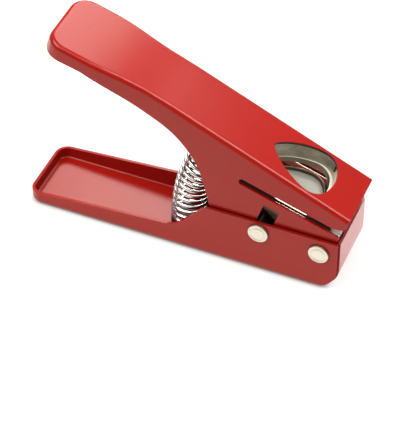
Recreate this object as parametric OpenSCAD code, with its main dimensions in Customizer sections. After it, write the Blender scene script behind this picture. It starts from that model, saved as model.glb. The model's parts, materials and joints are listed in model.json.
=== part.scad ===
// Guitar pick punch: a die set carried in a folded steel lever that swings in a folded steel base.
// Millimetres. X runs forward to the punch head, Y across, Z up, and the base stands on Z = 0.
// Lever pieces are drawn in the lever's own frame: origin on the front pin, card slot level.

/* [Base] */
// length of the base from its rear wall to its front face
base_length = 157.2; // [150:0.2:165]
// width over the two side walls
base_width = 36; // [34:0.1:38]
// thickness of the base sheet
base_sheet = 1.4; // [1.2:0.1:1.6]
// outside radius of the bends along the floor
base_bend = 2.5; // [2:0.1:3]
// outside radius of the two rear corners, seen from above
base_corner = 6; // [5:0.5:8]
// height of the tray rim at the rear wall
rim_height = 6.5; // [5.5:0.1:8]
// upward slope of the tray rim toward the front, in degrees
rim_slope = 4.4; // [3.5:0.1:5]
// height of the two ears
ear_height = 29.4; // [28.6:0.1:31]
// length of the ear top, back from the front face to its sharp corner
ear_length = 65.8; // [63:0.2:70]
// slope of the ear's rear edge, in degrees
ear_rake = 48; // [42:1:55]
// radius where the rim turns up into the ear
ear_hollow = 10; // [6:0.5:12]
// radius of the ear's upper rear corner
ear_round = 8; // [5:0.5:10]
// distance of the ears' front edges behind the front face
ear_setback = 0.8; // [0.4:0.1:1]
// outside radius of the sweep from the floor up into the front flap
flap_bend = 13; // [11:0.5:15]
// gap between each ear and the front flap
flap_gap = 0.3; // [0.2:0.05:0.4]

/* [Pins] */
// distance of the front pin behind the front face
front_pin_back = 9.6; // [9.2:0.1:11]
// height of the front pin above the ground
front_pin_height = 21.7; // [21:0.1:22.5]
// distance of the rear pin behind the front pin
rear_pin_back = 29.5; // [29:0.1:30]
// height of the rear pin above the front pin
rear_pin_rise = 1.9; // [1.6:0.1:2.2]
// diameter of both pin shanks
pin_d = 5; // [4.6:0.1:5.2]
// radial running clearance round the pins
pin_fit = 0.05; // [0.02:0.01:0.1]
// diameter of the pin heads and caps
pin_head_d = 9.8; // [9:0.1:10.5]
// thickness of the pin heads and caps
pin_head_t = 1.2; // [0.8:0.1:1.6]
// depth of the bevel and of the ring on the pin heads
head_edge = 0.25; // [0.2:0.05:0.3]
// radius of the ring in the pin heads' faces
ring_r = 3.5; // [3.2:0.1:3.7]
// width of that ring's flat bottom
ring_width = 0.5; // [0.3:0.1:0.6]
// diameter of the thin washers between lever and ears
washer_d = 9.6; // [8.8:0.1:10]
// side play left at each washer
washer_play = 0.05; // [0.03:0.01:0.1]

/* [Lever] */
// angle the lever stands open at rest, in degrees
rest_angle = 18; // [17:0.1:18.4]
// side gap between the lever and each ear
lever_play = 0.5; // [0.4:0.05:0.7]
// thickness of the lever sheet
lever_sheet = 1.4; // [1.2:0.1:1.6]
// outside radius of the folds along the lever's top
fold_radius = 2.4; // [2:0.1:2.8]
// reach of the lever's top ahead of the front pin
lever_front = 5.4; // [5:0.1:5.8]
// height of the lever's top above the front pin
top_height = 25.8; // [25:0.1:27]
// slope of the lever's top against the card slot, in degrees
top_rake = 6.3; // [5.5:0.1:7]
// distance behind the front pin where the top starts to flatten out
flatten_back = 80; // [76:1:86]
// distance of the handle's crest behind the front pin
crest_back = 132; // [126:1:140]
// distance of the handle's end behind the front pin
handle_reach = 152.2; // [146:0.2:160]
// widening of the handle at each side
handle_flare = 2.6; // [1.5:0.1:4]
// distance behind the front pin where the handle starts to widen
flare_start = 100; // [95:1:105]
// distance behind the front pin where the handle is at its widest
flare_end = 132; // [126:1:138]
// corner radius of the handle's end, seen from above
end_corner = 9; // [7:0.5:10]
// height of the handle's wall at its end
end_depth = 8; // [7:0.2:9]
// height of the handle's side wall where it is widest
grip_depth = 7.4; // [6:0.2:9]
// height of the handle's side wall where the widening starts
neck_depth = 11.5; // [10:0.1:13]
// depth of the side walls below the front pin
skirt_depth = 13; // [12.6:0.1:13.6]
// distance of the side walls' lower rear corner behind the front pin
skirt_back = 52.2; // [51:0.1:54]
// slope of the side walls' rear edge, in degrees
skirt_rake = 58.5; // [54:0.5:62]
// radius where the rear edge sweeps into the handle
neck_radius = 44; // [36:1:48]
// radius of the lower rear corner of the side walls
skirt_round = 4; // [2:0.5:6]
// radius of the side walls round the front pin
nose_radius = 6.6; // [6:0.1:7]

/* [Card slot] */
// height of the slot floor above the front pin
slot_floor = 13.1; // [12.8:0.1:13.4]
// height of the slot for the card
slot_height = 3.5; // [3:0.1:4]
// distance of the slot's closed end behind the front pin
slot_back = 47.2; // [45:0.1:48]
// length of the slot's flared mouth
mouth_length = 6; // [4:0.5:7]
// rise of the slot's upper lip over the mouth
mouth_rise = 2.8; // [1.5:0.1:3.5]
// distance of the side walls' front edge behind the top's front edge, at the front pin
lip_setback = 0.8; // [0.6:0.1:1]
// radius of the slot's lower lip
lip_radius = 2; // [1:0.1:3]

/* [Rear pin window] */
// clearance behind the rear pin's travel in the upright slots of the lever
pin_slot_rear = 0.15; // [0.1:0.05:0.3]
// clearance ahead of the rear pin's travel in these slots
pin_slot_front = 1.85; // [1.2:0.05:2]
// height of these slots' upper ends above the front pin
pin_slot_top = 8.7; // [8:0.1:9]
// corner radius of these slots
pin_slot_round = 0.8; // [0.4:0.1:1.2]
// gap between the rear pin and the slots' lower ends at rest
stop_gap = 0.3; // [0.2:0.05:0.4]

/* [Pick outline] */
// distance of the pick's broad end behind the front pin
pick_front = 10.4; // [10:0.1:10.8]
// distance from the pick's widest place to the lever's outside
pick_margin = 3.7; // [3.4:0.1:4.2]
// radius of the pick's tip, as a share of its half width
tip_share = 0.224; // [0.16:0.004:0.32]
// radius of the pick's two shoulders, as a share of its half width
shoulder_share = 0.64; // [0.58:0.01:0.68]
// distance of the shoulder centres from the pick's tip, as a share of its half width
along_share = 1.68; // [1.62:0.01:1.74]
// radius of the pick's long sides, as a share of its half width
side_share = 2.65; // [2.2:0.05:3.2]
// radius of the pick's broad end, as a share of its half width
broad_share = 1.58; // [1.4:0.02:2.4]
// size of the window and collar against the pick
window_scale = 1.07; // [1.04:0.01:1.08]
// distance of the window's tip behind the pick's tip
window_lag = 0.6; // [0.3:0.1:0.9]
// clearance of the die and the guide round the punch
punch_fit = 0.06; // [0.03:0.01:0.1]

/* [Die set] */
// thickness of the die plate
die_thickness = 3; // [2.6:0.1:3.4]
// thickness of the guide block round the punch
guide_thickness = 7; // [6.4:0.1:7.2]
// distance of the plates' front ends ahead of the front pin
plate_front = 4.6; // [4.2:0.1:4.8]
// distance of the plates' rear ends behind the front pin
plate_back = 52; // [51.6:0.1:52.4]
// side clearance of the plates inside the lever
plate_fit = 0.05; // [0.02:0.01:0.1]
// width of the low rebates along the guide block's top edges
rebate_width = 1.4; // [1:0.1:1.6]
// depth of these rebates
rebate_depth = 0.8; // [0.4:0.1:1.2]
// radius of the guide block's nose round the front pin
guide_nose = 5.2; // [4.8:0.1:5.4]
// depth of the punch face below the slot floor at rest
punch_recess = 2.3; // [1.8:0.1:2.8]
// distance from the rear pin's centre up to the carrier's top
carrier_rise = 5.4; // [5:0.1:6]
// distance from the rear pin's centre down to the carrier's underside
carrier_drop = 5; // [4.6:0.1:5.4]
// inset of the carrier inside the pick outline
carrier_inset = 0.6; // [0.4:0.05:0.8]
// distance of the carrier's front end behind the front pin
carrier_front = 19.4; // [18.5:0.1:19.8]
// clearance of the carrier's slot round the rear pin
carrier_fit = 0.15; // [0.1:0.05:0.3]

/* [Screws] */
// shank diameter of the small screws
screw_d = 2.8; // [2.4:0.1:3]
// head diameter of the small screws
screw_head_d = 4.8; // [4.4:0.1:5]
// clearance of screw holes and countersinks
screw_fit = 0.05; // [0.02:0.01:0.1]
// sideways distance of the plate screws from the middle line
screw_out = 8.5; // [7.5:0.1:9.5]
// distance of the front plate screws behind the front pin
front_screw_back = 2.2; // [1.8:0.1:2.6]
// reach of the plate screws into the collar, as a share of its front height
screw_share = 0.65; // [0.5:0.05:0.75]
// height of the screw heads' straight rim
head_rim = 0.3; // [0.2:0.05:0.4]
// depth of the hexagon sockets in the screw heads
socket_depth = 1.2; // [0.8:0.1:1.4]
// distance across the corners of these sockets
socket_d = 1.8; // [1.6:0.1:2]
// distance of the two forward punch screws behind the front pin
punch_screw_back = 22.8; // [22.4:0.1:23]
// sideways distance of the two forward punch screws from the middle line
punch_screw_out = 6; // [5:0.1:7]
// distance of the rear punch screw ahead of the pick's tip
tip_screw_ahead = 5.8; // [5.4:0.1:6.4]
// reach of the punch screws into the punch
punch_screw_bite = 6; // [4:0.1:8]

/* [Spring] */
// diameter of the spring wire
wire_d = 1.9; // [1.6:0.1:2]
// outside diameter of the spring
spring_d = 18.4; // [16:0.2:19]
// number of turns
spring_turns = 19; // [16:1:20]
// gap between the wire and itself in the first and last turns
end_gap = 0.7; // [0.65:0.05:0.9]
// distance of the spring's foot behind the front pin
spring_foot = 70.8; // [69.6:0.2:73]
// distance of the spring's head behind the front pin
spring_head = 62.6; // [62.2:0.1:64]
// thickness of the two spring seats' flanges
seat_flange = 1; // [0.8:0.1:1.4]
// height of the seats' bosses inside the spring
seat_boss = 5; // [3:0.5:8]
// chamfer on the bosses' ends
seat_chamfer = 1; // [0.6:0.1:1.4]
// gap between the seats and the spring
seat_gap = 0.2; // [0.1:0.05:0.3]

/* [Hidden] */
$fn = 64;
hair = 0.02;
wire_rings = 8;
flatten_run = crest_back - flatten_back;
overhang = lever_front * cos(rest_angle) + top_at(lever_front) * sin(rest_angle) - front_pin_back;
rear_x = -(base_length + overhang) / 2;
front_x = rear_x + base_length;
pivot_x = front_x - front_pin_back;
pivot_z = front_pin_height;
rear_pin_x = pivot_x - rear_pin_back;
rear_pin_z = pivot_z + rear_pin_rise;
pin_r = pin_d / 2;
ear_inner = base_width / 2 - base_sheet;
flap_width = 2 * (ear_inner - flap_gap);
lever_half = ear_inner - lever_play;
lever_width = 2 * lever_half;
handle_width = lever_width + 2 * handle_flare;
lever_inner = lever_half - lever_sheet;
plate_half = lever_inner - plate_fit;
washer_t = lever_play - 2 * washer_play;
slot_roof = slot_floor + slot_height;
collar_floor = slot_roof + die_thickness;
guide_floor = slot_floor - guide_thickness;
screw_back = (slot_back + plate_back) / 2;
screw_bite = screw_share * (top_height - lever_sheet - collar_floor);

// rear pin seen from the lever: radius and angle about the front pin, from open to closed
pin_reach = norm([rear_pin_back, rear_pin_rise]);
pin_angle = atan2(rear_pin_rise, rear_pin_back);
pin_u_open = -pin_reach * cos(pin_angle - rest_angle);
pin_w_open = pin_reach * sin(pin_angle - rest_angle);
pin_drift = pin_reach + pin_u_open;

// pick outline, tip at x = 0 and broad end forward
pick_half = lever_half - pick_margin;
tip_radius = tip_share * pick_half;
shoulder_radius = shoulder_share * pick_half;
shoulder_along = along_share * pick_half;
shoulder_out = pick_half - shoulder_radius;
side_radius = side_share * pick_half;
broad_radius = broad_share * pick_half;
tip_c = [tip_radius, 0];
shoulder_c = [shoulder_along, shoulder_out];
tip_gap = norm(shoulder_c - tip_c);
tip_dir = (shoulder_c - tip_c) / tip_gap;
tip_in = side_radius - tip_radius;
shoulder_in = side_radius - shoulder_radius;
side_run = (tip_in * tip_in - shoulder_in * shoulder_in + tip_gap * tip_gap) / (2 * tip_gap);
side_off = sqrt(tip_in * tip_in - side_run * side_run);
side_c = tip_c + side_run * tip_dir + side_off * [tip_dir.y, -tip_dir.x];
broad_in = broad_radius - shoulder_radius;
broad_c = [shoulder_along - sqrt(broad_in * broad_in - shoulder_out * shoulder_out), 0];
pick_length = broad_c.x + broad_radius;
pick_tip = -pick_front - pick_length;

// top line of the lever
function top_at(u) =
    let (t = max(0, -u - flatten_back))
    top_height + tan(top_rake) * (min(-u, flatten_back) + t - t * t / (2 * flatten_run));

// half width of the lever along its length
function ease(t) = t * t * (3 - 2 * t);
function half_at(u) =
    let (t = max(0, min(1, (-u - flare_start) / (flare_end - flare_start))))
    lever_half + handle_flare * ease(t);

// side wall outline: rear edge and handle edge, as points and directions
neck_p = [-flare_start, top_at(-flare_start) - neck_depth];
grip_p = [-flare_end, top_at(-flare_end) - grip_depth];
grip_angle = atan2(neck_p.y - grip_p.y, neck_p.x - grip_p.x);
skirt_p = [-skirt_back, -skirt_depth];
skirt_dir = [-cos(skirt_rake), sin(skirt_rake)];
grip_dir = [cos(grip_angle), sin(grip_angle)];
function cross2(a, b) = a.x * b.y - a.y * b.x;
elbow = skirt_p + skirt_dir * cross2(neck_p - skirt_p, grip_dir) / cross2(skirt_dir, grip_dir);

// spring axis: an arc from upright at the foot, then straight and square to the lever's top
lean = rest_angle + top_rake;
spring_r = spring_d / 2 - wire_d / 2;
seat_r = spring_d / 2;
boss_r = spring_r * cos(180 / wire_rings) - wire_d / 2 - seat_gap;
foot_x = pivot_x - spring_foot;
foot_z = base_sheet + seat_flange + seat_gap + wire_d / 2;
head_drop = lever_sheet + seat_flange + seat_gap + wire_d / 2;
head_u = -spring_head - head_drop * sin(top_rake);
head_w = top_at(-spring_head) - head_drop * cos(top_rake);
head_x = pivot_x + head_u * cos(rest_angle) + head_w * sin(rest_angle);
head_z = pivot_z - head_u * sin(rest_angle) + head_w * cos(rest_angle);
lean_det = (1 - cos(lean)) * cos(lean) - sin(lean) * sin(lean);
arc_r = ((head_x - foot_x) * cos(lean) - (head_z - foot_z) * sin(lean)) / lean_det;
run_l = ((head_z - foot_z) * (1 - cos(lean)) - (head_x - foot_x) * sin(lean)) / lean_det;
arc_l = arc_r * lean * PI / 180;
axis_l = arc_l + run_l;

// point and lean of the spring axis at a length s from the foot
function axis_lean(s) = min(lean, s / arc_r * 180 / PI);
function axis_point(s) =
    let (a = axis_lean(s), t = max(0, s - arc_l))
    [foot_x + arc_r * (1 - cos(a)) + t * sin(a), 0, foot_z + arc_r * sin(a) + t * cos(a)];

// wire centre after a number of turns; the first and last turns lie close to their seats
close_pitch = wire_d + end_gap;
open_pitch = (axis_l - 2 * close_pitch) / (spring_turns - 2);
function climb(n) =
    n < 1 ? n * close_pitch :
    n > spring_turns - 1 ? axis_l - (spring_turns - n) * close_pitch :
    close_pitch + (n - 1) * open_pitch;
function wire_point(n) =
    let (s = climb(n), a = axis_lean(s))
    axis_point(s) + spring_r * (cos(360 * n) * [cos(a), 0, -sin(a)] + sin(360 * n) * [0, 1, 0]);

// places children given in the lever's frame at the open rest position
module on_lever() {
    translate([pivot_x, 0, pivot_z]) rotate([0, rest_angle, 0]) children();
}

// thickens an outline drawn in X and Z to a width across Y
module across(width) {
    rotate([90, 0, 0]) linear_extrude(width, center = true) children();
}

// a cylinder across Y between two places
module cross_bar(r, from, to) {
    translate([0, from, 0]) rotate([-90, 0, 0]) cylinder(r = r, h = to - from);
}

// the sliver between a corner and its rounding arc, for edges leaving at two angles
module corner_sliver(p, a1, a2, r) {
    d1 = [cos(a1), sin(a1)];
    d2 = [cos(a2), sin(a2)];
    half = acos(d1 * d2) / 2;
    inward = (d1 + d2) / norm(d1 + d2);
    c = p + inward * r / sin(half);
    difference() {
        polygon([p - inward * r / 20, p + d1 * r / tan(half), c, p + d2 * r / tan(half)]);
        translate(c) circle(r);
    }
}

// wall and floor of the base where they bend into each other, measured out from the corner axis
module base_section() {
    inner = base_bend - base_sheet;
    difference() {
        union() {
            square([base_corner - base_bend, ear_height]);
            translate([0, base_bend]) square([base_corner, ear_height - base_bend]);
            translate([base_corner - base_bend, base_bend]) circle(base_bend);
        }
        translate([-1, base_sheet + inner]) square([base_corner - base_sheet + 1, ear_height]);
        translate([-1, base_sheet]) square([base_corner - base_bend + 1, ear_height]);
        translate([base_corner - base_bend, base_bend]) circle(inner);
    }
}

// side view of the base: sloping tray rim that sweeps up into the ears
module base_outline() {
    ear_end = front_x - ear_setback;
    top_p = [front_x - ear_length, ear_height];
    foot_p = top_p + [-cos(ear_rake), -sin(ear_rake)] * rim_meet(top_p);
    difference() {
        union() {
            polygon([[rear_x - 1, 0], [ear_end, 0], [ear_end, ear_height], top_p, foot_p,
                [rear_x - 1, rim_height - tan(rim_slope)]]);
            corner_sliver(foot_p, 180 + rim_slope, ear_rake, ear_hollow);
        }
        corner_sliver(top_p, 0, 180 + ear_rake, ear_round);
        corner_sliver([ear_end, 0], 180, 90, flap_bend);
    }
}

// distance down the ear's rear edge from its top corner to the rim line
function rim_meet(p) =
    (p.y - rim_height - (p.x - rear_x) * tan(rim_slope)) / (sin(ear_rake) - cos(ear_rake) * tan(rim_slope));

// side view of the front flap with its bend from the floor
module flap_outline() {
    difference() {
        translate([front_x - flap_bend - 1, 0]) square([flap_bend + 1, ear_height]);
        corner_sliver([front_x, 0], 180, 90, flap_bend);
        difference() {
            translate([front_x - flap_bend - 2, base_sheet])
                square([flap_bend + 2 - base_sheet, ear_height]);
            corner_sliver([front_x - base_sheet, base_sheet], 180, 90, flap_bend - base_sheet);
        }
    }
}

module base_shell() {
    side = base_width / 2 - base_corner;
    back = rear_x + base_corner;
    color("firebrick") difference() {
        union() {
            intersection() {
                union() {
                    for (s = [-1, 1]) {
                        translate([back, s * side, 0])
                            mirror([0, s < 0 ? 1 : 0, 0]) {
                                rotate([90, 0, 90]) linear_extrude(front_x - back) base_section();
                                rotate([0, 0, 90]) rotate_extrude(angle = 90) base_section();
                            }
                    }
                    translate([back, side, 0]) rotate([90, 0, 0])
                        linear_extrude(2 * side) mirror([1, 0]) base_section();
                    translate([back, -side, 0])
                        cube([base_length - base_corner - flap_bend, 2 * side, base_sheet]);
                }
                across(base_width + 2) base_outline();
            }
            across(flap_width) flap_outline();
        }
        translate([pivot_x, 0, pivot_z]) cross_bar(pin_r, -base_width, base_width);
        translate([rear_pin_x, 0, rear_pin_z]) cross_bar(pin_r, -base_width, base_width);
    }
}

// headed pin with a shallow ring in its face; the plain end stands proud of the far ear
module headed_pin() {
    r = pin_head_d / 2;
    ring_in = ring_r - ring_width / 2;
    ring_out = ring_r + ring_width / 2;
    translate([0, -base_width / 2 - pin_head_t, 0]) rotate([-90, 0, 0]) {
        rotate_extrude() polygon([[0, 0], [ring_in - head_edge, 0], [ring_in, head_edge],
            [ring_out, head_edge], [ring_out + head_edge, 0], [r - head_edge, 0], [r, head_edge],
            [r, pin_head_t], [0, pin_head_t]]);
        cylinder(r = pin_r, h = base_width + 2 * pin_head_t - head_edge);
    }
}

module front_pivot_pin() {
    color("gainsboro") translate([pivot_x, 0, pivot_z]) headed_pin();
}

module rear_pin() {
    color("gainsboro") translate([rear_pin_x, 0, rear_pin_z]) headed_pin();
}

// pressed caps that close the pins on the far ear
module pin_caps() {
    r = pin_head_d / 2;
    color("gainsboro") for (p = [[pivot_x, pivot_z], [rear_pin_x, rear_pin_z]])
        translate([p.x, base_width / 2, p.y]) rotate([-90, 0, 0])
            rotate_extrude() polygon([[pin_r, 0], [r, 0], [r, pin_head_t - head_edge],
                [r - head_edge, pin_head_t], [pin_r, pin_head_t]]);
}

// thin washers that keep the lever centred between the ears
module washer_pair() {
    for (s = [-1, 1]) translate([0, s * (lever_half + washer_play + washer_t / 2), 0]) rotate([90, 0, 0])
        difference() {
            cylinder(r = washer_d / 2, h = washer_t, center = true);
            cylinder(r = pin_r + pin_fit, h = washer_t + 1, center = true);
        }
}

module front_pin_washers() {
    color("silver") translate([pivot_x, 0, pivot_z]) washer_pair();
}

module rear_pin_washers() {
    color("silver") translate([rear_pin_x, 0, rear_pin_z]) washer_pair();
}

// flange and boss that locate one end of the spring
module spring_seat() {
    tip = seat_flange + seat_boss;
    rotate_extrude() polygon([[0, 0], [seat_r, 0], [seat_r, seat_flange], [boss_r, seat_flange],
        [boss_r, tip - seat_chamfer], [boss_r - seat_chamfer, tip], [0, tip]]);
}

module lower_spring_seat() {
    color("dimgray") translate([foot_x, 0, base_sheet]) spring_seat();
}

module upper_spring_seat() {
    color("dimgray") on_lever() translate([-spring_head, 0, top_at(-spring_head)])
        rotate([180, top_rake, 0]) translate([0, 0, lever_sheet + hair]) spring_seat();
}

// coil spring as one unbroken wire
module return_spring() {
    sides = 6;
    last = spring_turns * wire_rings;
    mids = [for (i = [0:last]) wire_point(i / wire_rings)];
    gaps = [for (i = [0:last], j = [i + 4:1:min(last, i + 12)]) norm(mids[i] - mids[j])];
    echo(least_gap = min(gaps) - wire_d);
    points = [for (i = [0:last])
        let (
            ahead = mids[min(i + 1, last)] - mids[max(i - 1, 0)],
            run = ahead / norm(ahead),
            out = mids[i] - axis_point(climb(i / wire_rings)),
            up = cross(run, out) / norm(cross(run, out)),
            side = cross(up, run))
        for (k = [0:sides - 1]) mids[i] + wire_d / 2 * (cos(60 * k) * side + sin(60 * k) * up)];
    skin = [for (i = [0:last - 1], k = [0:sides - 1])
        let (a = i * sides + k, b = i * sides + (k + 1) % sides)
        each [[a, a + sides, b], [b, a + sides, b + sides]]];
    ends = [for (k = [1:sides - 2])
        each [[0, k, k + 1], [last * sides, last * sides + k + 1, last * sides + k]]];
    color("lightgray") polyhedron(points, concat(skin, ends));
}

// upturned loaf that follows the lever's top and plan outline, shrunk by a sheet thickness
module loaf(shrink, front, floor) {
    steps = 14;
    turns = 6;
    folds = 4;
    fold = fold_radius - shrink;
    shoulder = handle_reach - end_corner;
    half_end = half_at(-shoulder);
    function plan(inset) = concat(
        [[front, half_at(front) - inset]],
        [for (i = [0:steps])
            let (u = -flatten_back - (shoulder - flatten_back) * i / steps)
            [u, half_at(u) - inset]],
        [for (i = [1:turns])
            let (a = 90 * i / turns, r = end_corner - inset)
            [-shoulder - r * sin(a), half_end - end_corner + r * cos(a)]]);
    function ring(inset, drop) =
        let (p = plan(shrink + inset), n = len(p))
        concat(
            [for (q = p) [q.x, q.y, drop < 0 ? floor : top_at(q.x) - shrink - drop]],
            [for (i = [n - 1:-1:0]) [p[i].x, -p[i].y, drop < 0 ? floor : top_at(p[i].x) - shrink - drop]]);
    rings = concat(
        [ring(0, -1)],
        [for (k = [0:folds])
            let (a = 90 * k / folds)
            ring(fold * (1 - cos(a)), fold * (1 - sin(a)))]);
    size = len(rings[0]);
    top = (len(rings) - 1) * size;
    points = [for (r = rings) each r];
    skin = [for (k = [0:len(rings) - 2], i = [0:size - 1])
        let (a = k * size + i, b = k * size + (i + 1) % size)
        each [[a, a + size, b], [b, a + size, b + size]]];
    caps = [for (i = [0:size / 2 - 2])
        let (m = size - 1 - i)
        each [[i, i + 1, m], [i + 1, m - 1, m], [top + i, top + m, top + i + 1],
            [top + i + 1, top + m, top + m - 1]]];
    polyhedron(points, concat(skin, caps));
}

// block with the lever's side view: handle, swept neck, deep side walls and a nose round the front pin
module lever_block() {
    wide = handle_width + 4;
    tall = top_at(-handle_reach) + 5;
    end_p = top_at(-handle_reach) - end_depth;
    chin = [-2 * nose_radius, -skirt_depth];
    chin_turn = atan2(chin.y, chin.x) + acos(nose_radius / norm(chin));
    across(wide) difference() {
        polygon([[lever_front, tall], [lever_front, top_at(lever_front)], [lever_front - lip_setback, 0],
            nose_radius * [cos(chin_turn), sin(chin_turn)], chin, skirt_p, elbow, neck_p, grip_p,
            [-handle_reach, end_p], [-handle_reach - 1, end_p], [-handle_reach - 1, tall]]);
        corner_sliver(skirt_p, 0, 180 - skirt_rake, skirt_round);
    }
    across(wide) corner_sliver(elbow, 180 + grip_angle, -skirt_rake, neck_radius);
    cross_bar(nose_radius, -wide / 2, wide / 2);
}

// side view of the card slot with its flared mouth
module slot_outline() {
    end = slot_height / 2;
    front = lever_front + 1;
    translate([end - slot_back, slot_floor]) square([slot_back - end + front, slot_height]);
    translate([end - slot_back, slot_floor + end]) circle(end);
    polygon([[front - mouth_length, slot_roof - hair], [front, slot_roof - hair],
        [front, slot_roof + mouth_rise]]);
    translate([0, slot_floor]) mirror([0, 1])
        corner_sliver([lever_front - lip_setback / 2, 0], 180, 90, lip_radius);
}

// pick outline built from tangent arcs, widened all round by a clearance
module pick_outline(grow = 0) {
    tip_t = side_c + (tip_c - side_c) / tip_in * (side_radius + grow);
    side_t = side_c + (shoulder_c - side_c) / shoulder_in * (side_radius + grow);
    broad_t = broad_c + (shoulder_c - broad_c) / broad_in * (broad_radius + grow);
    reach = 2 * broad_radius;
    cut = atan2(broad_t.y - side_t.y, broad_t.x - side_t.x);
    difference() {
        intersection() {
            translate(side_c) circle(side_radius + grow);
            mirror([0, 1]) translate(side_c) circle(side_radius + grow);
            translate(broad_c) circle(broad_radius + grow);
        }
        translate([tip_t.x - reach, -reach / 2]) square(reach);
        for (s = [0, 1]) mirror([0, s]) translate(side_t) rotate(cut)
            translate([-reach / 2, 0]) square(reach);
    }
    translate(tip_c) circle(tip_radius + grow);
    for (s = [-1, 1]) translate([shoulder_c.x, s * shoulder_c.y]) circle(shoulder_radius + grow);
}

// upright prism of the pick outline between two heights in the lever's frame
module pick_prism(grow, from, to) {
    translate([pick_tip, 0, from]) linear_extrude(to - from) pick_outline(grow);
}

// the wider window over the die, from the die's top up through the lever
module window_prism() {
    translate([pick_tip - window_lag, 0, collar_floor - 1]) linear_extrude(top_height)
        scale(window_scale) pick_outline();
}

// plate between two places along the lever and two heights
module plate(back, front, from, to) {
    translate([back, -plate_half, from]) cube([front - back, 2 * plate_half, to - from]);
}

// upright slot with round corners that lets the rear pin pass through the lever's walls
module pin_slot() {
    r = pin_slot_round;
    low = pin_w_open - pin_r - stop_gap;
    back = -pin_reach - pin_r - pin_slot_rear;
    front = pin_u_open + pin_r + pin_slot_front;
    across(2 * lever_width) {
        translate([back + r, low]) square([front - back - 2 * r, pin_slot_top - low]);
        translate([back, low + r]) square([front - back, pin_slot_top - low - 2 * r]);
        for (u = [back + r, front - r], w = [low + r, pin_slot_top - r]) translate([u, w]) circle(r);
    }
}

module lever_shell() {
    color("crimson") on_lever() difference() {
        intersection() {
            difference() {
                loaf(0, lever_front + 1, -skirt_depth - 1);
                loaf(lever_sheet, lever_front + 2, -skirt_depth - 2);
            }
            lever_block();
        }
        across(handle_width + 4) slot_outline();
        window_prism();
        pin_slot();
        cross_bar(pin_r + pin_fit, -lever_width, lever_width);
    }
}

// collar under the window that carries the punched pick up and out
module window_collar() {
    slope = tan(top_rake);
    under = lever_sheet / cos(top_rake) + hair;
    color("slategray") on_lever() difference() {
        across(2 * plate_half) polygon([[-plate_back, collar_floor], [plate_front, collar_floor],
            [plate_front, top_height - plate_front * slope - under],
            [-plate_back, top_height + plate_back * slope - under]]);
        for (s = [-1, 1]) translate([0, s * plate_half, top_height - under]) fold_relief();
        window_prism();
        stack_holes();
        front_holes();
    }
}

// clears the collar's long top edges from the inside of the lever's folds
module fold_relief() {
    bite = (fold_radius - lever_sheet + 2 * hair) * sqrt(2);
    rotate([0, top_rake, 0]) rotate([45, 0, 0]) cube([4 * plate_back, bite, bite], center = true);
}

module die_plate() {
    color("silver") on_lever() difference() {
        plate(-plate_back, plate_front, slot_roof, collar_floor);
        pick_prism(punch_fit, slot_floor, collar_floor + 1);
        stack_holes();
        front_holes();
    }
}

// bar that closes the slot's rear end and spaces the die from the guide
module slot_spacer() {
    color("silver") on_lever() difference() {
        plate(-plate_back, -slot_back, slot_floor, slot_roof);
        stack_holes();
    }
}

// block that guides the punch and hangs on the front pin
module guide_block() {
    color("darkgray") on_lever() difference() {
        union() {
            plate(-plate_back, plate_front, guide_floor, slot_floor);
            plate(-guide_nose, plate_front, 0, slot_floor);
            cross_bar(guide_nose, -plate_half, plate_half);
        }
        for (s = [-1, 1]) translate([0, s * plate_half, slot_floor])
            cube([4 * plate_back, 2 * rebate_width, 2 * rebate_depth], center = true);
        pick_prism(punch_fit, guide_floor - 1, slot_floor + 1);
        cross_bar(pin_r + pin_fit, -lever_width, lever_width);
        stack_holes();
    }
}

// countersunk screw pointing up, with a hexagon socket in its head
module flat_screw(length, ease = 0) {
    r = screw_d / 2 + ease;
    head = screw_head_d / 2 + ease;
    difference() {
        rotate_extrude() polygon([[0, -ease], [head, -ease], [head, head_rim], [r, head_rim + head - r],
            [r, length + ease], [0, length + ease]]);
        if (ease == 0) translate([0, 0, -1]) cylinder(d = socket_d, h = socket_depth + 1, $fn = 6);
    }
}

module stack_pair(ease = 0) {
    for (s = [-1, 1]) translate([-screw_back, s * screw_out, guide_floor])
        flat_screw(guide_thickness + slot_height + die_thickness + screw_bite, ease);
}

module front_pair(ease = 0) {
    for (s = [-1, 1]) translate([-front_screw_back, s * screw_out, slot_roof])
        flat_screw(die_thickness + screw_bite, ease);
}

module stack_holes() {
    stack_pair(screw_fit);
}

module front_holes() {
    front_pair(screw_fit);
}

module die_stack_screws() {
    color("dimgray") on_lever() stack_pair();
}

module die_front_screws() {
    color("dimgray") on_lever() front_pair();
}

// places children at the three punch screws, on the carrier's underside
module at_punch_screws() {
    for (p = [[-punch_screw_back, punch_screw_out], [-punch_screw_back, -punch_screw_out],
        [pick_tip + tip_screw_ahead, 0]])
        translate([p.x, p.y, pin_w_open - carrier_drop]) children();
}

module punch() {
    color("lightgray") on_lever() difference() {
        pick_prism(0, pin_w_open + carrier_rise, slot_floor - punch_recess);
        at_punch_screws() flat_screw(carrier_drop + carrier_rise + punch_screw_bite, screw_fit);
    }
}

// block under the punch that straddles the rear pin
module punch_carrier() {
    slot_half = pin_r + carrier_fit;
    color("gray") on_lever() difference() {
        intersection() {
            pick_prism(-carrier_inset, pin_w_open - carrier_drop, pin_w_open + carrier_rise);
            translate([pick_tip, -lever_width, pin_w_open - carrier_drop])
                cube([-carrier_front - pick_tip, 2 * lever_width, carrier_drop + carrier_rise]);
        }
        for (u = [pin_u_open, -pin_reach]) translate([u, 0, pin_w_open])
            cross_bar(slot_half, -lever_width, lever_width);
        translate([-pin_reach, -lever_width, pin_w_open - slot_half])
            cube([pin_drift, 2 * lever_width, 2 * slot_half]);
        at_punch_screws() flat_screw(carrier_drop + carrier_rise + punch_screw_bite, screw_fit);
    }
}

module punch_screws() {
    color("dimgray") on_lever() at_punch_screws()
        flat_screw(carrier_drop + carrier_rise + punch_screw_bite);
}

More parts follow.
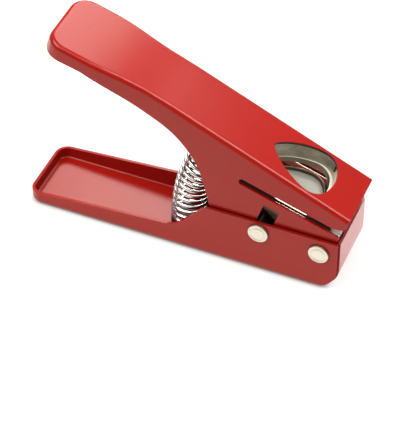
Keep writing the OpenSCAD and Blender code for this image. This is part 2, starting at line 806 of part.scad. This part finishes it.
base_shell();
front_pivot_pin();
rear_pin();
pin_caps();
front_pin_washers();
rear_pin_washers();
lower_spring_seat();
return_spring();
lever_shell();
upper_spring_seat();
window_collar();
die_plate();
slot_spacer();
guide_block();
die_stack_screws();
die_front_screws();
punch();
punch_carrier();
punch_screws();
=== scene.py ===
import json
import math

import bmesh
import bpy
from mathutils import Matrix, Vector


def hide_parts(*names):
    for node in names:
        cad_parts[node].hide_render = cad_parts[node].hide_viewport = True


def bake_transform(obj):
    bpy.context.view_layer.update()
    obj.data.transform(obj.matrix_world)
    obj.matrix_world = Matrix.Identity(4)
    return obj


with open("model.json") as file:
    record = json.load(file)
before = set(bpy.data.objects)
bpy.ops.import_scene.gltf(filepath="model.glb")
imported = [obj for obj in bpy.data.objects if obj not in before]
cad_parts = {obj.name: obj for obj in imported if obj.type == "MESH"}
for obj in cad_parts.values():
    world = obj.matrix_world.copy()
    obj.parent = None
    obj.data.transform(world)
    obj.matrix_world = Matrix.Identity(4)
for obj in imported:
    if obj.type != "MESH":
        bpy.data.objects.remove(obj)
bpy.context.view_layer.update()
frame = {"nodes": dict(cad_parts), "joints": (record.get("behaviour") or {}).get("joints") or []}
nodes = frame["nodes"]
leverJoint = frame["joints"][0]
pivot = Vector(leverJoint["pos_m"])                         # front pin, on the middle plane
openAngle = math.radians(leverJoint["range_deg"][1])        # how far the lever stands open at rest
leverUp = (math.sin(openAngle), 0, math.cos(openAngle))     # square to the lever's slot, at rest
xAxis = (1, 0, 0)
yAxis = (0, 1, 0)
zAxis = (0, 0, 1)
print("stage: frame loaded with", len(nodes), "nodes")


class Shade:
    # wraps a socket, so that shader maths reads as plain expressions
    def __init__(self, tree, socket=None):
        self.tree = tree
        self.socket = socket

    def node(self, kind, settings=None, sockets=None, out=0):
        made = self.tree.nodes.new(kind)
        for name, value in (settings or {}).items():
            setattr(made, name, value)
        for name, value in (sockets or {}).items():
            self.feed(made.inputs[name], value)
        return Shade(self.tree, made.outputs[out])

    def feed(self, target, value):
        if isinstance(value, Shade):
            self.tree.links.new(value.socket, target)
        else:
            target.default_value = value

    def maths(self, operation, first, second):
        return self.node("ShaderNodeMath", {"operation": operation}, {0: first, 1: second})

    def __add__(self, other):
        return self.maths("ADD", self, other)

    def __radd__(self, other):
        return self.maths("ADD", other, self)

    def __sub__(self, other):
        return self.maths("SUBTRACT", self, other)

    def __rsub__(self, other):
        return self.maths("SUBTRACT", other, self)

    def __mul__(self, other):
        return self.maths("MULTIPLY", self, other)

    def __rmul__(self, other):
        return self.maths("MULTIPLY", other, self)

    def span(self, low, high):                              # 0 at low, 1 at high, held beyond them
        return self.node("ShaderNodeMapRange", {}, {"Value": self, "From Min": low, "From Max": high})

    def above(self, limit):                                 # 1 over the limit, 0 up to it
        return self.maths("GREATER_THAN", self, limit)

    def most(self, other):
        return self.maths("MAXIMUM", self, other)

    def unsigned(self):
        return self.node("ShaderNodeMath", {"operation": "ABSOLUTE"}, {0: self})

    def mix(self, colour, other):                           # this value is the share of the other colour
        return self.node("ShaderNodeMix", {"data_type": "RGBA"}, {0: self, 6: colour, 7: other}, out=2)


def startMaterial(name):
    material = bpy.data.materials.new(name)
    material.use_nodes = True
    shader = material.node_tree.nodes["Principled BSDF"]
    return material, Shade(material.node_tree), shader


skewTurn = (0.7, 0.4, 1.1)                                  # keeps the noise's grid off the flat faces


def ownPoint(shade):                                        # a point in the piece's own frame
    return shade.node("ShaderNodeTexCoord", out="Object")


def turnedPoint(shade, turn, stretch=(1, 1, 1)):
    return shade.node("ShaderNodeMapping", {"vector_type": "TEXTURE"},
                      {"Vector": ownPoint(shade), "Rotation": turn, "Scale": stretch})


def noise(shade, size, detail=2, point=None):               # patches of about that size, in metres
    place = point or turnedPoint(shade, skewTurn)
    return shade.node("ShaderNodeTexNoise", {}, {"Vector": place, "Scale": 1 / size, "Detail": detail})


def along(shade, vector, direction):                        # length of a vector in a direction
    return shade.node("ShaderNodeVectorMath", {"operation": "DOT_PRODUCT"},
                      {0: vector, 1: direction}, out="Value")


def ownPlace(shade, axis):                                  # how far along an axis, in the piece's frame
    return along(shade, ownPoint(shade), axis)


def offMiddle(shade):                                       # distance from the middle plane
    return ownPlace(shade, yAxis).unsigned()


def leverHeight(shade):                                     # height above the front pin
    return ownPlace(shade, leverUp) - pivot.dot(Vector(leverUp))


def facing(shade, axis):                                    # 1 toward the axis, -1 away from it
    return along(shade, shade.node("ShaderNodeTexCoord", out="Normal"), axis)


edgeFinder = {"samples": 6, "turn": (0.01, 0.2)}            # a wider turn is more of an edge
occlusionShadeFinder = {"samples": 8}


def edgeMask(shade, radius):                                # 1 where the face turns within the radius
    flat = shade.node("ShaderNodeNewGeometry", out="Normal")
    rounded = shade.node("ShaderNodeBevel", {"samples": edgeFinder["samples"]}, {"Radius": radius})
    return (1 - along(shade, flat, rounded)).span(*edgeFinder["turn"])


def occlusionShade(shade, reach):                                  # 1 in gaps narrower than the reach; it paints shade there
    return 1 - shade.node("ShaderNodeAmbientOcclusion", {"samples": occlusionShadeFinder["samples"]},
                          {"Distance": reach}, out="AO")


def bump(shade, height, depth, strength=1):
    return shade.node("ShaderNodeBump", {}, {"Height": height, "Distance": depth, "Strength": strength})


redPaint = {
    "colour": (0.45, 0.0105, 0.0060, 1),
    "deep": (0.41, 0.0085, 0.0047, 1),  # in the paint's faint clouds and specks
    "cloudSize": 0.035,
    "cloudSpan": (0.1, 0.9),
    "cloudShare": 0.8,
    "cloudGloss": 0.05,
    "speckSize": 0.00055,
    "speckSpan": (0.62, 0.75),
    "speckShare": 0.2,
    "speckGloss": 0.04,
    "edge": (0.50, 0.026, 0.018, 1),  # paint worn thin along the edges
    "edgeRadius": 0.0005,
    "edgeShare": 0.7,
    "wearSize": 0.004,
    "wearSpan": (0.3, 0.7),
    "grime": (0.20, 0.0060, 0.0035, 1),  # painted shade in narrow gaps and round the pins
    "grimeReach": 0.0016,
    "grimeSpan": (0.2, 0.5),
    "roughness": 0.21,
    "ior": 1.45,
    "peelSize": 0.0011,
    "peelDepth": 0.000003,
}
cutEdgeShade = {                    # bare window edge painted near-black as shade under the top, at its place in the lever at rest
    "colour": (0.045, 0.018, 0.012, 1),
    "back": 0.034,
    "front": 0.070,
    "half": 0.0139,
    "facing": (0.5, 0.3),      # only on faces that stand square to the lever's top
}
earTopShade = {                     # painted shade on the ears' upper edges, beside the lever's walls
    "colour": (0.26, 0.0080, 0.0045, 1),
    "height": 0.0288,
    "facing": (0.6, 0.9),
}


def cutMask(shade, values):                                 # 1 on the window's own walls
    ahead = ownPlace(shade, xAxis)
    inLength = ahead.above(values["back"]) * (1 - ahead.above(values["front"]))
    inWidth = 1 - offMiddle(shade).above(values["half"])
    return inLength * inWidth * facing(shade, leverUp).unsigned().span(*values["facing"])


def earMask(shade, values):                                 # 1 on the ears' upper edges
    return ownPlace(shade, zAxis).above(values["height"]) * facing(shade, zAxis).span(*values["facing"])


def makeRedPaint(name, values, ownMask, shadeMark):              # the mask says where a mark of painted shade shows
    material, shade, shader = startMaterial(name)
    cloud = noise(shade, values["cloudSize"], detail=3).span(*values["cloudSpan"])
    speck = noise(shade, values["speckSize"], detail=1).span(*values["speckSpan"])
    wear = noise(shade, values["wearSize"], detail=3).span(*values["wearSpan"])
    worn = values["edgeShare"] * edgeMask(shade, values["edgeRadius"]) * wear
    # painted shade: darker in narrow gaps, from ambient occlusion
    grime = occlusionShade(shade, values["grimeReach"]).span(*values["grimeSpan"])
    mottle = values["cloudShare"] * cloud + values["speckShare"] * speck
    colour = mottle.mix(values["colour"], values["deep"])
    colour = worn.mix(colour, values["edge"])
    colour = grime.mix(colour, values["grime"])
    gloss = values["cloudGloss"] * cloud + values["speckGloss"] * speck
    peel = noise(shade, values["peelSize"])
    shade.feed(shader.inputs["Base Color"], ownMask(shade, shadeMark).mix(colour, shadeMark["colour"]))
    shade.feed(shader.inputs["Roughness"], values["roughness"] + gloss)
    shade.feed(shader.inputs["Normal"], bump(shade, peel, values["peelDepth"]))
    shader.inputs["IOR"].default_value = values["ior"]
    return material


groundSteel = {
    "colour": (0.60, 0.565, 0.49, 1),
    "dark": (0.46, 0.42, 0.35, 1),  # in the grinding marks and stains
    "roughness": 0.10,
    "grain": (0.02, 0.00022, 0.00022),  # size of a mark along the slot, across it and square to it
    "grainDepth": 0.000004,
    "grainShare": 0.45,
    "grainGloss": 0.07,
    "stainSize": 0.009,
    "stainSpan": (0.35, 0.7),
    "stainShare": 0.45,
    "stainGloss": 0.05,
    "edge": (0.86, 0.84, 0.79, 1),  # bright rubbed edges
    "edgeRadius": 0.00025,
    "edgeShare": 0.6,
}
blockSteel = {
    **groundSteel,
    "colour": (0.60, 0.49, 0.41, 1),
    "dark": (0.48, 0.38, 0.31, 1),
    "edge": (0.20, 0.155, 0.12, 1),  # edges painted dark as shade, so the bore's rim round the punch stays dark
    "roughness": 0.06,
}
collarSteel = {
    **groundSteel,
    "colour": (0.62, 0.55, 0.47, 1),
    "dark": (0.02, 0.015, 0.012, 1),
    "roughness": 0.02,
    "grain": (0.04, 0.04, 0.0009),  # cut round the wall
    "grainDepth": 0.000030,
}
punchSteel = {
    **groundSteel,
    "colour": (0.70, 0.725, 0.68, 1),
    "dark": (0.58, 0.60, 0.55, 1),
    "roughness": 0.55,
    "grain": (0.004, 0.0003, 0.0003),
    "grainDepth": 0.000003,
    "stainSize": 0.006,
}
washerSteel = {
    **groundSteel,
    "colour": (0.60, 0.60, 0.59, 1),
    "dark": (0.42, 0.42, 0.41, 1),
    "roughness": 0.30,
    "grain": (0.003, 0.0003, 0.0003),
    "grainDepth": 0.000003,
    "stainSize": 0.004,
}
steelCornerShade = {                  # painted shade, darker deep in corners and recesses
    "colour": (0.10, 0.085, 0.068, 1),
    "reach": 0.006,
    "span": (0.25, 0.8),
    "share": 0.75,
}
blockLowShade = {                  # painted shade below a height above the front pin, higher up in the punch's bore
    "colour": (0.115, 0.058, 0.044, 1),
    "line": 0.0118,
    "boreLine": 0.0128,
    "boreHalf": 0.0131,
    "blend": 0.0004,
}
slotMouthGlint = {                    # painted highlight: the slot's mouth pale and matt, as a glint
    "colour": (0.97, 0.965, 0.95, 1),
    "roughness": 0.8,
    "back": 0.0705,
    "blend": 0.0020,
}
dieLitAndShaded = {                    # painted light and shade: pale matt upper faces as lit, darker walls in the hole as shade
    "colour": (0.95, 0.90, 0.78, 1),
    "roughness": 0.5,
    "upFacing": (0.75, 0.9),
    "wall": (0.17, 0.135, 0.105, 1),
    "wallHalf": 0.0130,
    "wallShare": 0.9,
    "under": (0.13, 0.050, 0.036, 1),  # painted shade on faces looking down, over the slot
    "downFacing": (-0.75, -0.9),
}


def makeGroundSteel(name, values, cornerShading=None, lowShade=None, face=None, rub=None):
    material, shade, shader = startMaterial(name)
    grain = noise(shade, 1, point=turnedPoint(shade, (0, openAngle, 0), values["grain"]))
    stain = noise(shade, values["stainSize"], detail=4).span(*values["stainSpan"])
    mottle = values["grainShare"] * grain + values["stainShare"] * stain
    colour = mottle.mix(values["colour"], values["dark"])
    roughness = values["roughness"] + values["grainGloss"] * grain + values["stainGloss"] * stain
    matt = 0
    if cornerShading:
        # painted shade in corners and recesses
        corner = occlusionShade(shade, cornerShading["reach"]).span(*cornerShading["span"])
        colour = (cornerShading["share"] * corner).mix(colour, cornerShading["colour"])
    edge = values["edgeShare"] * edgeMask(shade, values["edgeRadius"])
    colour = edge.mix(colour, values["edge"])
    if lowShade:
        # painted shade on the block's lower part and up its bore
        inBore = 1 - offMiddle(shade).above(lowShade["boreHalf"])
        height = leverHeight(shade) - (lowShade["boreLine"] - lowShade["line"]) * inBore
        colour = height.span(lowShade["line"], lowShade["line"] - lowShade["blend"]).mix(colour, lowShade["colour"])
    if face:
        # painted light and shade: faces looking up pale, hole walls and faces looking down dark
        inHole = 1 - offMiddle(shade).above(face["wallHalf"])
        upward = facing(shade, leverUp)
        matt = upward.span(*face["upFacing"])
        colour = (face["wallShare"] * inHole).mix(colour, face["wall"])
        colour = upward.span(*face["downFacing"]).mix(colour, face["under"])
        colour = matt.mix(colour, face["colour"])
        roughness = roughness + (face["roughness"] - values["roughness"]) * matt
    if rub:
        # painted highlight at the slot's mouth
        rubbed = ownPlace(shade, xAxis).span(rub["back"], rub["back"] + rub["blend"])
        colour = rubbed.mix(colour, rub["colour"])
        roughness = roughness + (rub["roughness"] - values["roughness"]) * rubbed
        matt = rubbed.most(matt)
    shade.feed(shader.inputs["Base Color"], colour)
    shade.feed(shader.inputs["Roughness"], roughness)
    shade.feed(shader.inputs["Normal"], bump(shade, grain, values["grainDepth"]))
    shade.feed(shader.inputs["Metallic"], 1 - matt)
    return material


zincPlate = {
    "colour": (0.93, 0.92, 0.83, 1),
    "dull": (0.82, 0.80, 0.71, 1),
    "roughness": 0.42,
    "metallic": 0.9,
    "hazeSize": 0.0025,
    "hazeSpan": (0.35, 0.7),
    "hazeShare": 0.35,
    "hazeGloss": 0.12,
    "spangleSize": 0.0011,
    "spangleShare": 0.2,
    "spangleDepth": 0.000008,
    "spangleStrength": 0.5,
    "rim": (0.34, 0.30, 0.25, 1),  # painted shade on the sides of the heads
    "rimFacing": (0.85, 0.3),
    "oiled": (0.10, 0.085, 0.075, 1),  # the shanks inside the ears
    "shank": 0.0178,           # half length of the oiled shank
    "shankBlend": 0.0004,
}


def makeZincPlate(values):
    material, shade, shader = startMaterial("zincPlate")
    spangle = shade.node("ShaderNodeTexVoronoi", {},
                         {"Vector": turnedPoint(shade, skewTurn), "Scale": 1 / values["spangleSize"]})
    haze = noise(shade, values["hazeSize"], detail=3).span(*values["hazeSpan"])
    shank = offMiddle(shade).span(values["shank"], values["shank"] - values["shankBlend"])
    rim = facing(shade, yAxis).unsigned().span(*values["rimFacing"])
    mottle = values["hazeShare"] * haze + values["spangleShare"] * spangle
    colour = mottle.mix(values["colour"], values["dull"])
    colour = rim.mix(colour, values["rim"])
    relief = bump(shade, spangle, values["spangleDepth"], values["spangleStrength"])
    shade.feed(shader.inputs["Base Color"], shank.mix(colour, values["oiled"]))
    shade.feed(shader.inputs["Roughness"], values["roughness"] + values["hazeGloss"] * haze)
    shade.feed(shader.inputs["Normal"], relief)
    shader.inputs["Metallic"].default_value = values["metallic"]
    return material


springChrome = {
    "colour": (0.93, 0.93, 0.94, 1),
    "dull": (0.80, 0.80, 0.81, 1),
    "roughness": 0.16,
    "metallic": 1,
    "cloudSize": 0.004,
    "cloudSpan": (0.4, 0.7),
    "cloudShare": 0.5,
    "cloudGloss": 0.06,
    "drawSize": 0.0012,
    "drawDepth": 0.000003,
    "oiled": (0.08, 0.08, 0.088, 1),  # painted shade under each turn and inside the coil
    "axis": (0.21, 0, 0.98),   # about the way that the spring leans
    "underFacing": (-0.25, -0.7),
    "footX": -0.00346,         # the coil's axis leaves the floor here
    "footZ": 0.00355,
    "bend": 4.9,               # and leans forward by this much of its height squared
    "inside": (-0.0015, -0.0035),  # distance from the axis times how far a face looks away from it
}


def makeSpringChrome(values):
    material, shade, shader = startMaterial("springChrome")
    cloud = noise(shade, values["cloudSize"], detail=3).span(*values["cloudSpan"])
    draw = noise(shade, values["drawSize"], detail=3)
    # painted shade and reflection: darker under each turn and inside the coil
    under = facing(shade, values["axis"]).span(*values["underFacing"])
    climb = ownPlace(shade, zAxis) - values["footZ"]
    ahead = ownPlace(shade, xAxis) - values["footX"] - values["bend"] * climb * climb
    outward = ahead * facing(shade, xAxis) + ownPlace(shade, yAxis) * facing(shade, yAxis)
    inside = outward.span(*values["inside"])
    colour = (values["cloudShare"] * cloud).mix(values["colour"], values["dull"])
    colour = under.mix(colour, values["oiled"])
    shade.feed(shader.inputs["Base Color"], inside.mix(colour, values["oiled"]))
    shade.feed(shader.inputs["Roughness"], values["roughness"] + values["cloudGloss"] * cloud)
    shade.feed(shader.inputs["Normal"], bump(shade, draw, values["drawDepth"]))
    shader.inputs["Metallic"].default_value = values["metallic"]
    return material


blackOxide = {
    "colour": (0.045, 0.045, 0.05, 1),
    "roughness": 0.42,
    "metallic": 0.85,
    "grainSize": 0.0004,
    "grainDepth": 0.000006,
    "grainGloss": 0.15,
    "rubbed": (0.24, 0.235, 0.23, 1),  # along the edges
    "rubSize": 0.002,
    "rubSpan": (0.35, 0.65),
    "edgeRadius": 0.0003,
}


def makeBlackOxide(values):
    material, shade, shader = startMaterial("blackOxide")
    grain = noise(shade, values["grainSize"], detail=3)
    rub = noise(shade, values["rubSize"]).span(*values["rubSpan"])
    rubbed = edgeMask(shade, values["edgeRadius"]) * rub
    shade.feed(shader.inputs["Base Color"], rubbed.mix(values["colour"], values["rubbed"]))
    shade.feed(shader.inputs["Roughness"], values["roughness"] + values["grainGloss"] * grain)
    shade.feed(shader.inputs["Normal"], bump(shade, grain, values["grainDepth"]))
    shader.inputs["Metallic"].default_value = values["metallic"]
    return material


def makeSmoothGroup():                                      # smooth faces; the bevels keep the edges
    group = bpy.data.node_groups.new("shadeAllSmooth", "GeometryNodeTree")
    group.interface.new_socket("Geometry", in_out="INPUT", socket_type="NodeSocketGeometry")
    group.interface.new_socket("Geometry", in_out="OUTPUT", socket_type="NodeSocketGeometry")
    start = group.nodes.new("NodeGroupInput")
    smooth = group.nodes.new("GeometryNodeSetShadeSmooth")
    end = group.nodes.new("NodeGroupOutput")
    group.links.new(start.outputs[0], smooth.inputs["Geometry"])
    group.links.new(smooth.outputs[0], end.inputs[0])
    return group


smoothGroup = makeSmoothGroup()
dressing = {
    "weldGap": 0.00002,
    "flatTurn": 0.3,           # faces that turn less than this, in degrees, become one
    "edgeTurn": 32,            # edges that turn more than this, in degrees, are rounded
    "shadingWeight": 80,
}
edgeRounding = {               # width and segments
    "shell": (0.00035, 3),
    "die": (0.0005, 3),
    "steel": (0.0002, 2),
    "pin": (0.00012, 2),
    "screw": (0.0001, 2),
}


def dressNode(name, material, rounding):                    # rounds a solid's sharp edges and paints it
    width, segments = edgeRounding[rounding]
    piece = nodes[name]
    piece.data.materials.clear()
    piece.data.materials.append(material)
    weld = piece.modifiers.new("weld", "WELD")
    weld.merge_threshold = dressing["weldGap"]
    flatten = piece.modifiers.new("flatten", "DECIMATE")
    flatten.decimate_type = "DISSOLVE"
    flatten.angle_limit = math.radians(dressing["flatTurn"])
    bevel = piece.modifiers.new("edges", "BEVEL")
    bevel.width = width
    bevel.segments = segments
    bevel.limit_method = "ANGLE"
    bevel.angle_limit = math.radians(dressing["edgeTurn"])
    bevel.use_clamp_overlap = True
    piece.modifiers.new("smooth", "NODES").node_group = smoothGroup
    piece.modifiers.new("shading", "WEIGHTED_NORMAL").weight = dressing["shadingWeight"]


leverFinish = makeRedPaint("leverPaint", redPaint, cutMask, cutEdgeShade)
baseFinish = makeRedPaint("basePaint", redPaint, earMask, earTopShade)
spacerFinish = makeGroundSteel("groundSteel", groundSteel, steelCornerShade)
collarFinish = makeGroundSteel("collarSteel", collarSteel, steelCornerShade)
blockFinish = makeGroundSteel("blockSteel", blockSteel, lowShade=blockLowShade, rub=slotMouthGlint)
dieFinish = makeGroundSteel("dieSteel", groundSteel, steelCornerShade, face=dieLitAndShaded, rub=slotMouthGlint)
punchFinish = makeGroundSteel("punchSteel", punchSteel)
washerFinish = makeGroundSteel("washerSteel", washerSteel)
pinFinish = makeZincPlate(zincPlate)
springFinish = makeSpringChrome(springChrome)
screwFinish = makeBlackOxide(blackOxide)
print("stage: finishes made")

dressNode("base_shell", baseFinish, "shell")
dressNode("lever_shell", leverFinish, "shell")
dressNode("window_collar", collarFinish, "steel")
dressNode("slot_spacer", spacerFinish, "steel")
dressNode("die_plate", dieFinish, "die")
dressNode("guide_block", blockFinish, "die")
dressNode("punch", punchFinish, "steel")
for washerName in ("front_pin_washers", "rear_pin_washers"):
    dressNode(washerName, washerFinish, "pin")
for pinName in ("front_pivot_pin", "rear_pin", "pin_caps"):
    dressNode(pinName, pinFinish, "pin")
for screwName in ("die_stack_screws", "die_front_screws", "punch_screws"):
    dressNode(screwName, screwFinish, "screw")
for darkName in ("punch_carrier", "lower_spring_seat", "upper_spring_seat"):
    dressNode(darkName, screwFinish, "screw")
print("stage: solids dressed")


coil = {
    "wire": 0.0019,            # wire diameter
    "outside": 0.0184,         # coil diameter over the wire
    "turns": 19,
    "endGap": 0.0007,          # gap in the first and last turns
    "footBack": 0.0708,        # foot, behind the front pin
    "footHeight": 0.00355,     # middle of the wire at the foot
    "headBack": 0.062951,      # middle of the wire at the head, along the slot
    "headHeight": 0.029183,    # the same, above the front pin
    "topRake": 6.3,            # slope of the lever's top against the slot, in degrees
    "rings": 32,               # rings in a turn
    "sides": 12,
}


def leverPoint(ahead, height):                              # from the lever's frame to the rest position
    turn = Matrix.Rotation(openAngle, 3, "Y")
    return pivot + turn @ Vector((ahead, 0, height))


def makeSpring(values, material):                           # one wire, square to base and lever
    foot = Vector((pivot.x - values["footBack"], 0, values["footHeight"]))
    head = leverPoint(-values["headBack"], values["headHeight"])
    lean = openAngle + math.radians(values["topRake"])
    reach = head - foot
    spread = (1 - math.cos(lean)) * math.cos(lean) - math.sin(lean) ** 2
    arcRadius = (reach.x * math.cos(lean) - reach.z * math.sin(lean)) / spread
    straight = (reach.z * (1 - math.cos(lean)) - reach.x * math.sin(lean)) / spread
    arcLength = arcRadius * lean
    length = arcLength + straight
    turns = values["turns"]
    closePitch = values["wire"] + values["endGap"]
    openPitch = (length - 2 * closePitch) / (turns - 2)
    coilRadius = (values["outside"] - values["wire"]) / 2

    def climb(turn):
        if turn < 1:
            return turn * closePitch
        if turn > turns - 1:
            return length - (turns - turn) * closePitch
        return closePitch + (turn - 1) * openPitch

    def axisPoint(run):
        angle = min(lean, run / arcRadius)
        rest = max(0, run - arcLength)
        x = arcRadius * (1 - math.cos(angle)) + rest * math.sin(angle)
        z = arcRadius * math.sin(angle) + rest * math.cos(angle)
        return foot + Vector((x, 0, z)), angle

    def wirePoint(turn):
        centre, angle = axisPoint(climb(turn))
        forward = Vector((math.cos(angle), 0, -math.sin(angle)))
        aside = Vector(yAxis)
        spin = 2 * math.pi * turn
        return centre, centre + coilRadius * (math.cos(spin) * forward + math.sin(spin) * aside)

    mesh = bmesh.new()
    rings = []
    last = turns * values["rings"]
    step = 1 / values["rings"]
    for index in range(last + 1):
        centre, middle = wirePoint(index * step)
        before = wirePoint(max(index - 1, 0) * step)[1]
        after = wirePoint(min(index + 1, last) * step)[1]
        run = (after - before).normalized()
        up = run.cross(middle - centre).normalized()
        side = up.cross(run)
        ring = []
        for corner in range(values["sides"]):
            angle = 2 * math.pi * corner / values["sides"]
            offset = math.cos(angle) * side + math.sin(angle) * up
            ring.append(mesh.verts.new(middle + values["wire"] / 2 * offset))
        rings.append(ring)
    for ring, following in zip(rings, rings[1:]):
        for corner in range(values["sides"]):
            after = (corner + 1) % values["sides"]
            mesh.faces.new((ring[corner], ring[after], following[after], following[corner]))
    mesh.faces.new(reversed(rings[0]))
    mesh.faces.new(rings[-1])
    bmesh.ops.recalc_face_normals(mesh, faces=mesh.faces)
    for face in mesh.faces:
        face.smooth = len(face.verts) < values["sides"]     # the two cut ends stay flat
    data = bpy.data.meshes.new("returnSpringWire")
    mesh.to_mesh(data)
    mesh.free()
    spring = bpy.data.objects.new("returnSpringWire", data)
    bpy.context.scene.collection.objects.link(spring)
    data.materials.append(material)
    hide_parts("return_spring")
    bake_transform(spring)


makeSpring(coil, springFinish)
print("stage: spring wound")


paperFloor = {
    "colour": (0.42, 0.42, 0.42, 1),
    "shade": (0.40, 0.40, 0.405, 1),
    "fibreSize": 0.02,
    "roughness": 0.9,
    "specular": 0.2,
    "size": 12.0,
    "drop": 0.0001,            # just clear of the part's underside
    "paper": (0.70, 0.70, 0.70, 1),  # what the camera sees of the paper's own glow
    "frontGlow": (0.63, 0.565, 0.48, 1),  # the paper is lit from below, more behind the part
    "backGlow": (1.22, 1.22, 1.20, 1),
    "glowSpan": (-0.020, 0.010),
    "glowStrength": 1,
    "dimGlow": (0.10, 0.10, 0.10, 1),  # the light below ends in front of the part and behind it
    "litFront": -0.20,
    "litBack": 0.06,
    "litFade": 0.06,
    "contactShadowGlow": (0.05, 0.05, 0.05, 1),  # painted contact shadow: the glow fades where the part meets the paper
    "contactShadowReach": 0.003,
    "contactShadowSpan": (0.15, 0.9),
}


def makeFloor(values):
    material, shade, shader = startMaterial("paperFloor")
    fibre = noise(shade, values["fibreSize"], detail=4)
    away = ownPlace(shade, yAxis)
    behind = away.span(*values["glowSpan"])
    lit = away.span(values["litFront"] - values["litFade"], values["litFront"])
    lit = lit * away.span(values["litBack"] + values["litFade"], values["litBack"])
    glow = lit.mix(values["dimGlow"], behind.mix(values["frontGlow"], values["backGlow"]))
    seen = shade.node("ShaderNodeLightPath", out="Is Camera Ray")
    glow = seen.mix(glow, values["paper"])
    contactShadow = occlusionShade(shade, values["contactShadowReach"]).span(*values["contactShadowSpan"])
    shade.feed(shader.inputs["Base Color"], fibre.mix(values["colour"], values["shade"]))
    shade.feed(shader.inputs["Emission Color"], contactShadow.mix(glow, values["contactShadowGlow"]))
    shader.inputs["Emission Strength"].default_value = values["glowStrength"]
    shader.inputs["Roughness"].default_value = values["roughness"]
    shader.inputs["Specular IOR Level"].default_value = values["specular"]
    half = values["size"] / 2
    low = -values["drop"]
    corners = [(-half, -half, low), (half, -half, low), (half, half, low), (-half, half, low)]
    data = bpy.data.meshes.new("paperFloor")
    data.from_pydata(corners, [], [(0, 1, 2, 3)])
    data.materials.append(material)
    floor = bpy.data.objects.new("paperFloor", data)
    bpy.context.scene.collection.objects.link(floor)


makeFloor(paperFloor)

lampTint = (1.0, 0.97, 0.89)                                # slightly warm
softboxes = {                  # glow is the brightness of a box's face
    "overhead": {"place": (0.46, 0.03, 1.0), "aim": (0.05, 0, 0), "size": (0.46, 0.56), "glow": 8.1},
    "frontTop": {"place": (0, -0.45, 1.0), "aim": (0, 0, 0), "size": (0.4, 0.25), "glow": 4.2},
    "topLeft": {"place": (-0.55, -0.35, 0.95), "aim": (-0.05, 0, 0), "size": (0.7, 0.6), "glow": 5.6},
    "backLeft": {"place": (-0.20, 0.80, 0.72), "aim": (0, 0, 0.03), "size": (0.6, 0.6), "glow": 5.9},
    "catchLight": {"place": (0.286, 0.735, 0.81), "aim": (0.05, 0, 0.04),
                   "size": (0.09, 0.06), "glow": 9},
}


def makeSoftbox(name, values):
    width, height = values["size"]
    data = bpy.data.lights.new(name, "AREA")
    data.shape = "RECTANGLE"
    data.size = width
    data.size_y = height
    data.energy = values["glow"] * math.pi * width * height
    data.color = lampTint
    lamp = bpy.data.objects.new(name, data)
    bpy.context.scene.collection.objects.link(lamp)
    lamp.location = values["place"]
    ahead = (Vector(values["aim"]) - lamp.location).normalized()
    right = (Vector(xAxis) - ahead.x * ahead).normalized()  # the width runs along X
    lamp.rotation_euler = Matrix((right, right.cross(ahead), -ahead)).transposed().to_euler()
    lamp.visible_camera = False


for boxName, boxValues in softboxes.items():
    makeSoftbox(boxName, boxValues)

room = {
    "front": (0.05, 0.05, 0.052, 1),  # dim behind the camera
    "back": (0.27, 0.27, 0.27, 1),  # pale sweep behind the part
    "sweep": (-0.2, 0.6),      # from the one to the other
    "backdrop": (0.93, 0.93, 0.93, 1),
}


def makeRoom(values):
    world = bpy.data.worlds.new("studioRoom")
    bpy.context.scene.world = world
    world.use_nodes = True
    shade = Shade(world.node_tree)
    direction = shade.node("ShaderNodeTexCoord", out="Generated")
    behind = along(shade, direction, yAxis).span(*values["sweep"])
    light = behind.mix(values["front"], values["back"])
    seen = shade.node("ShaderNodeLightPath", out="Is Camera Ray")
    background = world.node_tree.nodes["Background"]
    shade.feed(background.inputs["Color"], seen.mix(light, values["backdrop"]))


makeRoom(room)

camera = {
    "azimuth": 22.932,         # degrees round from straight ahead of the near side
    "elevation": 44.149,
    "distance": 0.985723,
    "aim": (0.002783, -0.003411, 0.005655),
    "lens": 171.43,
    "sensor": 36,              # the photo's long side, in the lens's millimetres
    "clipStart": 0.01,
}


def makeCamera(values):
    azimuth = math.radians(values["azimuth"])
    elevation = math.radians(values["elevation"])
    away = Vector((math.sin(azimuth) * math.cos(elevation),
                   -math.cos(azimuth) * math.cos(elevation),
                   math.sin(elevation)))
    data = bpy.data.cameras.new("photoCamera")
    data.lens = values["lens"]
    data.sensor_width = values["sensor"]
    data.clip_start = values["clipStart"]
    shot = bpy.data.objects.new("photoCamera", data)
    bpy.context.scene.collection.objects.link(shot)
    shot.location = Vector(values["aim"]) + away * values["distance"]
    shot.rotation_euler = away.to_track_quat("Z", "Y").to_euler()
    bpy.context.scene.camera = shot


makeCamera(camera)
bpy.context.scene.view_settings.view_transform = "Standard"
print("stage: floor, lights and camera set")
